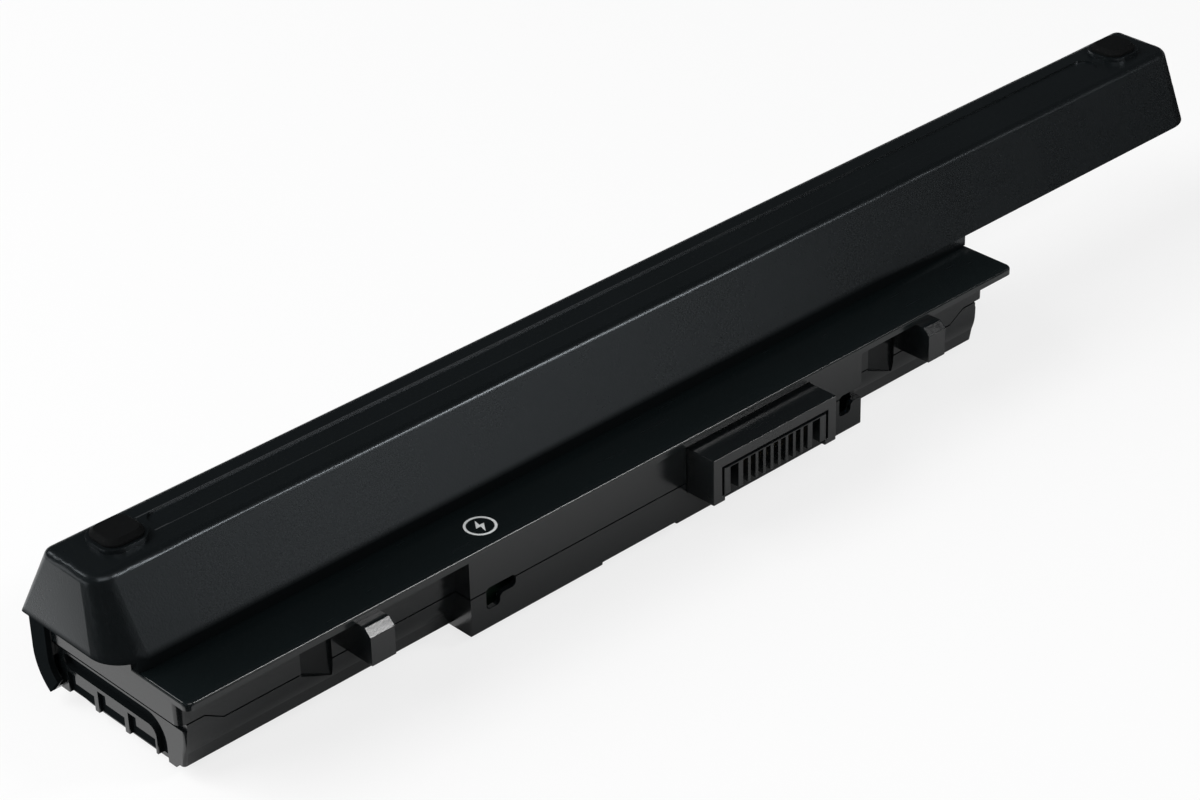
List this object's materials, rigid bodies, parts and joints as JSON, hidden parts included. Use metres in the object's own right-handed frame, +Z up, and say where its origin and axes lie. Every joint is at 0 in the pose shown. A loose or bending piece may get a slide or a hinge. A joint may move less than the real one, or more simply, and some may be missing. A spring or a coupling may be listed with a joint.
{
  "type": "laptop battery",
  "caption": "Extended laptop battery pack: rows of round cells in a slim base with a long raised hump on feet, a blade connector, latch tabs and guide slots.",
  "frame": {"origin": "middle of the box that holds the pack, on the plane that it lies on", "axes": "+X along the pack, towards the hump's long overhang; -Y out of the connector; +Z up, to the hump"},
  "size_m": [0.2904, 0.052, 0.0402],
  "materials": {
    "hump_plastic": "fine matte grain",
    "case_plastic": "polished top, satin walls",
    "tray_plastic": "satin",
    "foot_rubber": "matte",
    "connector_plastic": "satin",
    "contact_metal": "gold plated",
    "board_laminate": "solder mask",
    "chip_plastic": "moulded",
    "resistor_ceramic": "fired",
    "insulator_paper": "stiff insulating paper",
    "lead_black": "insulated lead",
    "lead_red": "insulated lead",
    "sensor_resin": "dipped resin",
    "foam_pad": "closed-cell foam",
    "nickel_strip": "rolled nickel",
    "cell_sleeve": "shrunk-on sleeve",
    "mark_ink": "printed sign on the shelf"
  },
  "bodies": {
    "root": {"hump_cover": "hump_plastic", "top_case": "case_plastic", "bottom_tray": "tray_plastic", "foot_left": "foot_rubber", "foot_right": "foot_rubber", "connector_housing": "connector_plastic", "connector_contacts": "contact_metal", "circuit_board": "board_laminate", "gauge_chip": "chip_plastic", "switch_transistors": "chip_plastic", "sense_resistor": "resistor_ceramic", "board_fuse": "resistor_ceramic", "board_insulator": "insulator_paper", "lead_negative": "lead_black", "lead_positive": "lead_red", "temperature_sensor": "sensor_resin", "end_pad_left": "foam_pad", "end_pad_right": "foam_pad", "top_foam_strip": "foam_pad", "link_plate_1": "nickel_strip", "link_plate_2": "nickel_strip", "link_plate_3": "nickel_strip", "link_plate_4": "nickel_strip", "cell_front_1": "cell_sleeve", "cell_front_2": "cell_sleeve", "cell_front_3": "cell_sleeve", "cell_back_1": "cell_sleeve", "cell_back_2": "cell_sleeve", "cell_back_3": "cell_sleeve", "cell_top_1": "cell_sleeve", "cell_top_2": "cell_sleeve", "cell_top_3": "cell_sleeve"}
  },
  "joints": []
}
